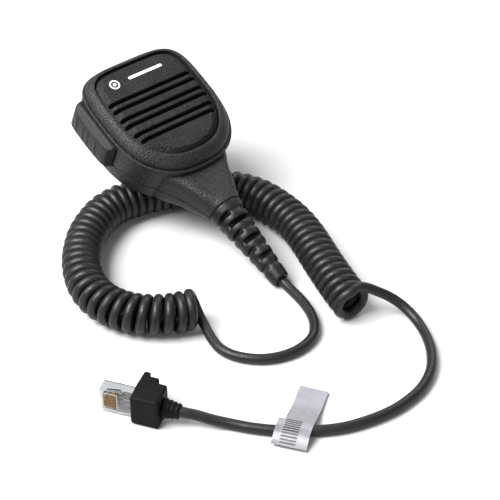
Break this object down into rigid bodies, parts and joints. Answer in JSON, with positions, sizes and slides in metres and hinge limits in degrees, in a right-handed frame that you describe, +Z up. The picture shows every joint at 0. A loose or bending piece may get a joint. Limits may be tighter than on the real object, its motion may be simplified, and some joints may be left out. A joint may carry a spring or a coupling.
{
  "type": "hand microphone",
  "caption": "Fist-held radio microphone with slotted front, side push-to-talk paddle, hang-up stud, slotted strain relief and coiled cord ending in a clear modular plug.",
  "frame": {"origin": "centre of the microphone's bounding box without its cord, on the table", "axes": "+Z up; +Y along the microphone toward its top end, the cord leaving toward -Y; +X to the right of a reader facing the panel; the face leans back 24 degrees"},
  "size_m": [0.158, 0.2291, 0.0722],
  "materials": {
    "shell_plastic": "fine-grained moulded black plastic",
    "panel_plastic": "fine-grained black plastic, slightly lighter",
    "print_white": "screen print, satin",
    "cloth_black": "woven acoustic cloth",
    "rubber_soft": "matte rubber",
    "paddle_rubber": "satin rubber-coated plastic",
    "relief_rubber": "satin moulded rubber",
    "cord_jacket": "satin smooth jacket",
    "boot_plastic": "satin moulded black plastic",
    "switch_plastic": "moulded",
    "nylon_white": "natural nylon",
    "board_laminate": "solder mask, satin",
    "capsule_metal": "drawn, satin",
    "steel": "zinc plated",
    "stud_metal": "polished plating",
    "clear_plastic": "clear moulded polycarbonate",
    "contact_gold": "gold plated",
    "wire_jacket": "coloured wire insulation",
    "label_film": "glossy white film"
  },
  "bodies": {
    "housing": {"front_shell": "shell_plastic", "face_panel": "panel_plastic", "panel_emblem": "print_white", "grille_cloth": "cloth_black", "shell_gasket": "rubber_soft", "rear_shell": "shell_plastic", "case_screws": "steel", "ptt_seal": "rubber_soft", "switch_body": "switch_plastic", "circuit_board": "board_laminate", "board_screws": "steel", "mic_capsule": "capsule_metal", "capsule_grommet": "rubber_soft", "board_header": "nylon_white", "inner_wires": "wire_jacket", "cord_clamp": "steel", "clamp_screws": "steel", "hang_up_stud": "stud_metal", "hang_up_screw": "steel", "strain_relief": "relief_rubber", "inner_jacket": "cord_jacket", "cord_lead_mic": "cord_jacket", "cord_coil": "cord_jacket", "cord_lead_plug": "cord_jacket", "boot_tail": "boot_plastic", "plug_boot": "boot_plastic", "plug_body": "clear_plastic", "plug_contacts": "contact_gold", "plug_wires": "wire_jacket", "cord_label": "label_film"},
    "paddle": {"ptt_paddle": "paddle_rubber"},
    "plunger": {"switch_plunger": "nylon_white"},
    "latch": {"plug_latch": "clear_plastic"}
  },
  "joints": [
    {"name": "ptt_press", "type": "slide", "parent": "housing", "child": "paddle", "axis": [1, 0, 0], "range_m": [0, 0.0015], "stiffness_N_per_m": 1500, "springref_m": -0.0008},
    {"name": "switch_press", "type": "slide", "parent": "housing", "child": "plunger", "axis": [1, 0, 0], "range_m": [0, 0.0015]},
    {"name": "latch_flex", "type": "hinge", "parent": "housing", "child": "latch", "pos_m": [-0.1077, -0.07446, 0.007], "axis": [0, 0, -1], "range_deg": [0, 9], "stiffness_Nm_per_rad": 0.1}
  ],
  "couplings": [
    {"joint": "switch_press", "follows": "ptt_press", "ratio": 1}
  ]
}
